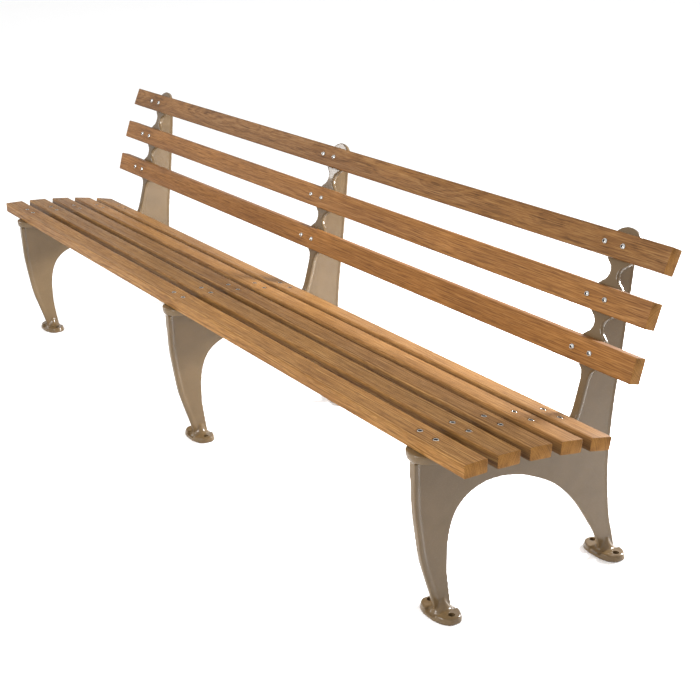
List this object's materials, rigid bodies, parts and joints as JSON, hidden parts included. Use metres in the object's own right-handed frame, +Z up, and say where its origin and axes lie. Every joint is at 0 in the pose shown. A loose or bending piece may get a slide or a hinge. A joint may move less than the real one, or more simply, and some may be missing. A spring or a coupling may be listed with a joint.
{
  "type": "garden bench",
  "caption": "Long park bench: wooden seat and back slats bolted across cast metal frames with arched legs and flat oval feet.",
  "frame": {"origin": "on the floor under the middle of the bench, half way along its length and half way through its depth", "axes": "+X along the bench to the right of someone facing it, +Y towards the back rest, +Z up"},
  "size_m": [2.704, 0.635, 0.8246],
  "materials": {
    "timber": "oiled hardwood, long grain",
    "coating": "glossy taupe powder coat on cast metal",
    "steel": "bright stainless"
  },
  "bodies": {
    "root": {"frame_left": "coating", "frame_middle": "coating", "frame_right": "coating", "seat_slat_1": "timber", "seat_slat_2": "timber", "seat_slat_3": "timber", "seat_slat_4": "timber", "seat_slat_5": "timber", "back_slat_1": "timber", "back_slat_2": "timber", "back_slat_3": "timber", "seat_bolt_1_left_a": "steel", "seat_bolt_1_left_b": "steel", "seat_bolt_1_middle_a": "steel", "seat_bolt_1_middle_b": "steel", "seat_bolt_1_right_a": "steel", "seat_bolt_1_right_b": "steel", "seat_bolt_2_left_a": "steel", "seat_bolt_2_left_b": "steel", "seat_bolt_2_middle_a": "steel", "seat_bolt_2_middle_b": "steel", "seat_bolt_2_right_a": "steel", "seat_bolt_2_right_b": "steel", "seat_bolt_3_left_a": "steel", "seat_bolt_3_left_b": "steel", "seat_bolt_3_middle_a": "steel", "seat_bolt_3_middle_b": "steel", "seat_bolt_3_right_a": "steel", "seat_bolt_3_right_b": "steel", "seat_bolt_4_left_a": "steel", "seat_bolt_4_left_b": "steel", "seat_bolt_4_middle_a": "steel", "seat_bolt_4_middle_b": "steel", "seat_bolt_4_right_a": "steel", "seat_bolt_4_right_b": "steel", "seat_bolt_5_left_a": "steel", "seat_bolt_5_left_b": "steel", "seat_bolt_5_middle_a": "steel", "seat_bolt_5_middle_b": "steel", "seat_bolt_5_right_a": "steel", "seat_bolt_5_right_b": "steel", "back_bolt_1_left_a": "steel", "back_bolt_1_left_b": "steel", "back_bolt_1_middle_a": "steel", "back_bolt_1_middle_b": "steel", "back_bolt_1_right_a": "steel", "back_bolt_1_right_b": "steel", "back_bolt_2_left_a": "steel", "back_bolt_2_left_b": "steel", "back_bolt_2_middle_a": "steel", "back_bolt_2_middle_b": "steel", "back_bolt_2_right_a": "steel", "back_bolt_2_right_b": "steel", "back_bolt_3_left_a": "steel", "back_bolt_3_left_b": "steel", "back_bolt_3_middle_a": "steel", "back_bolt_3_middle_b": "steel", "back_bolt_3_right_a": "steel", "back_bolt_3_right_b": "steel"}
  },
  "joints": []
}
